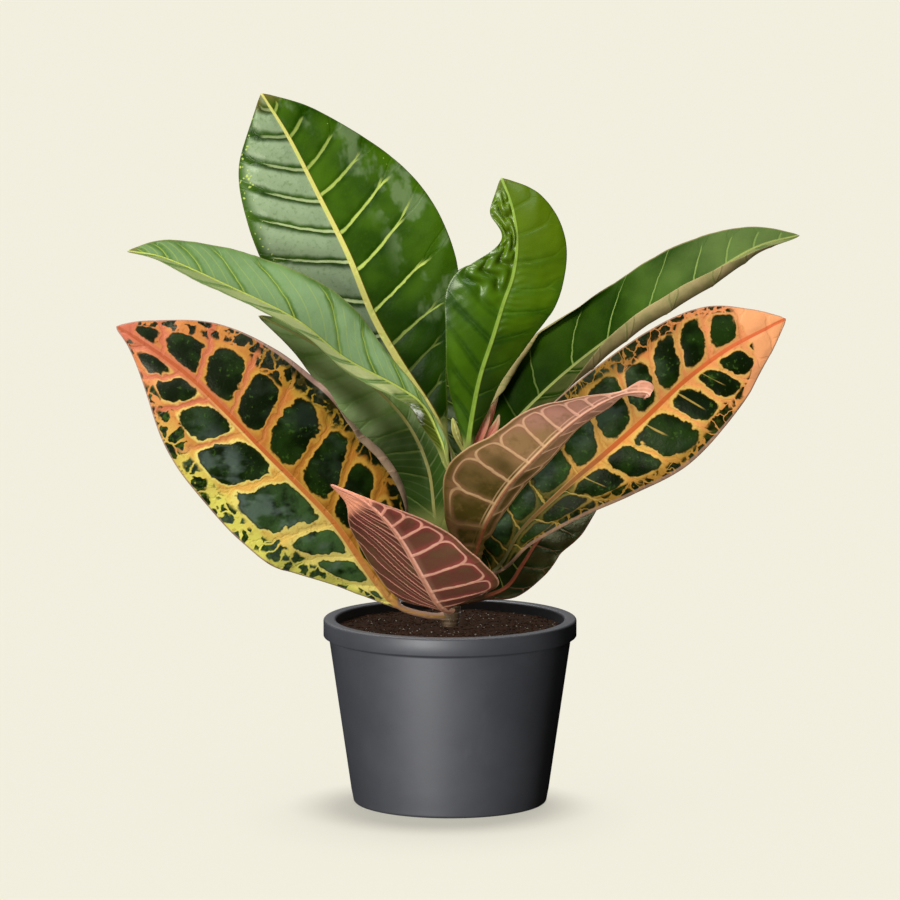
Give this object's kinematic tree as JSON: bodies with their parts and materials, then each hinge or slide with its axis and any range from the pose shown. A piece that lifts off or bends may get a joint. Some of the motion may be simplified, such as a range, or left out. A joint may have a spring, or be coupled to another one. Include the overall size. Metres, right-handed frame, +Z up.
{
  "type": "potted croton",
  "caption": "Young croton with broad, partly variegated leaves on one short woody stem, planted in soil in a round tapered plastic pot with a rim band.",
  "frame": {"origin": "centre of the pot's flat underside", "axes": "+Z up along the pot's axis; -Y toward the viewer of the picture; +X to the viewer's right"},
  "size_m": [0.4037, 0.2696, 0.4146],
  "materials": {
    "pot_plastic": "satin",
    "potting_soil": "matte",
    "stem_bark": "matte",
    "green_leaf": "satin",
    "variegated_leaf": "satin",
    "purple_backed_leaf": "satin",
    "dark_leaf": "satin",
    "young_leaf": "satin",
    "young_green_leaf": "satin"
  },
  "bodies": {
    "root": {"pot": "pot_plastic", "soil": "potting_soil", "stem": "stem_bark", "leaf_1": "green_leaf", "leaf_2": "green_leaf", "leaf_3": "variegated_leaf", "leaf_4": "green_leaf", "leaf_5": "green_leaf", "leaf_6": "variegated_leaf", "leaf_7": "purple_backed_leaf", "leaf_8": "purple_backed_leaf", "leaf_9": "dark_leaf", "leaf_10": "dark_leaf", "leaf_11": "green_leaf", "leaf_12": "variegated_leaf", "leaf_13": "variegated_leaf", "leaflet": "young_green_leaf", "bud": "young_leaf"}
  },
  "joints": []
}
